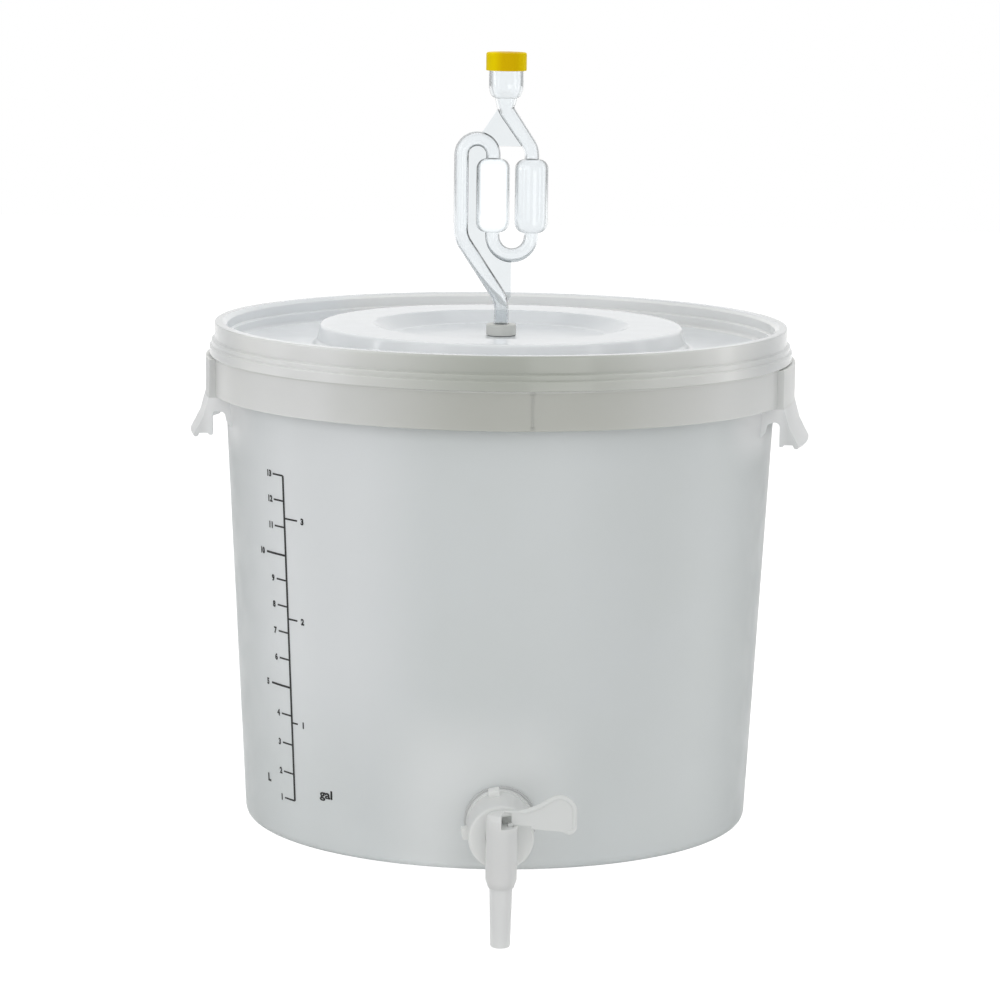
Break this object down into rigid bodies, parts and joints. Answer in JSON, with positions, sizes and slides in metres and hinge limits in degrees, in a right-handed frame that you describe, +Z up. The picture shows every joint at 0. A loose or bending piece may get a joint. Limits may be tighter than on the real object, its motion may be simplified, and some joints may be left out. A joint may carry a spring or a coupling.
{
  "type": "fermentation bucket with airlock",
  "caption": "Tapered bucket with side grips and a press-on lid, an S-shaped airlock in the lid's grommet, and a lever tap low on the wall.",
  "frame": {"origin": "centre of the flat underside of the bucket's base", "axes": "+Z up along the bucket's axis; the grips lie on +X and -X; the tap is on the -Y side, 4.5 degrees towards +X; the airlock's tubes lie in the XZ plane"},
  "size_m": [0.3476, 0.3563, 0.4615],
  "materials": {
    "bucket": "translucent polypropylene, satin",
    "lid": "gloss",
    "lid_grommet": "satin",
    "airlock_body": "clear gloss",
    "airlock_cap": "satin",
    "tap_outer_gasket": "matt",
    "tap_inner_gasket": "matt",
    "tap_back_nut": "satin",
    "tap_collar": "satin",
    "tap_body": "satin",
    "tap_rotor": "satin",
    "tap_lever": "satin"
  },
  "bodies": {
    "bucket": {"bucket": "bucket", "tap_collar": "tap_collar", "tap_outer_gasket": "tap_outer_gasket", "tap_inner_gasket": "tap_inner_gasket", "tap_back_nut": "tap_back_nut", "tap_body": "tap_body"},
    "lid": {"lid": "lid", "lid_grommet": "lid_grommet"},
    "airlock": {"airlock_body": "airlock_body"},
    "airlock_cap": {"airlock_cap": "airlock_cap"},
    "tap_valve": {"tap_rotor": "tap_rotor", "tap_lever": "tap_lever"}
  },
  "joints": [
    {"name": "lid_lift", "type": "slide", "parent": "bucket", "child": "lid", "axis": [0, 0, 1], "range_m": [0, 0.06]},
    {"name": "airlock_pull", "type": "slide", "parent": "lid", "child": "airlock", "axis": [0, 0, 1], "range_m": [0, 0.035]},
    {"name": "airlock_cap_lift", "type": "slide", "parent": "airlock", "child": "airlock_cap", "axis": [0, 0, 1], "range_m": [0, 0.015]},
    {"name": "tap_lever_turn", "type": "hinge", "parent": "bucket", "child": "tap_valve", "pos_m": [0.01448, -0.18397, 0.02619], "axis": [-0.004, 0.0511, -0.9987], "range_deg": [0, 70]}
  ]
}
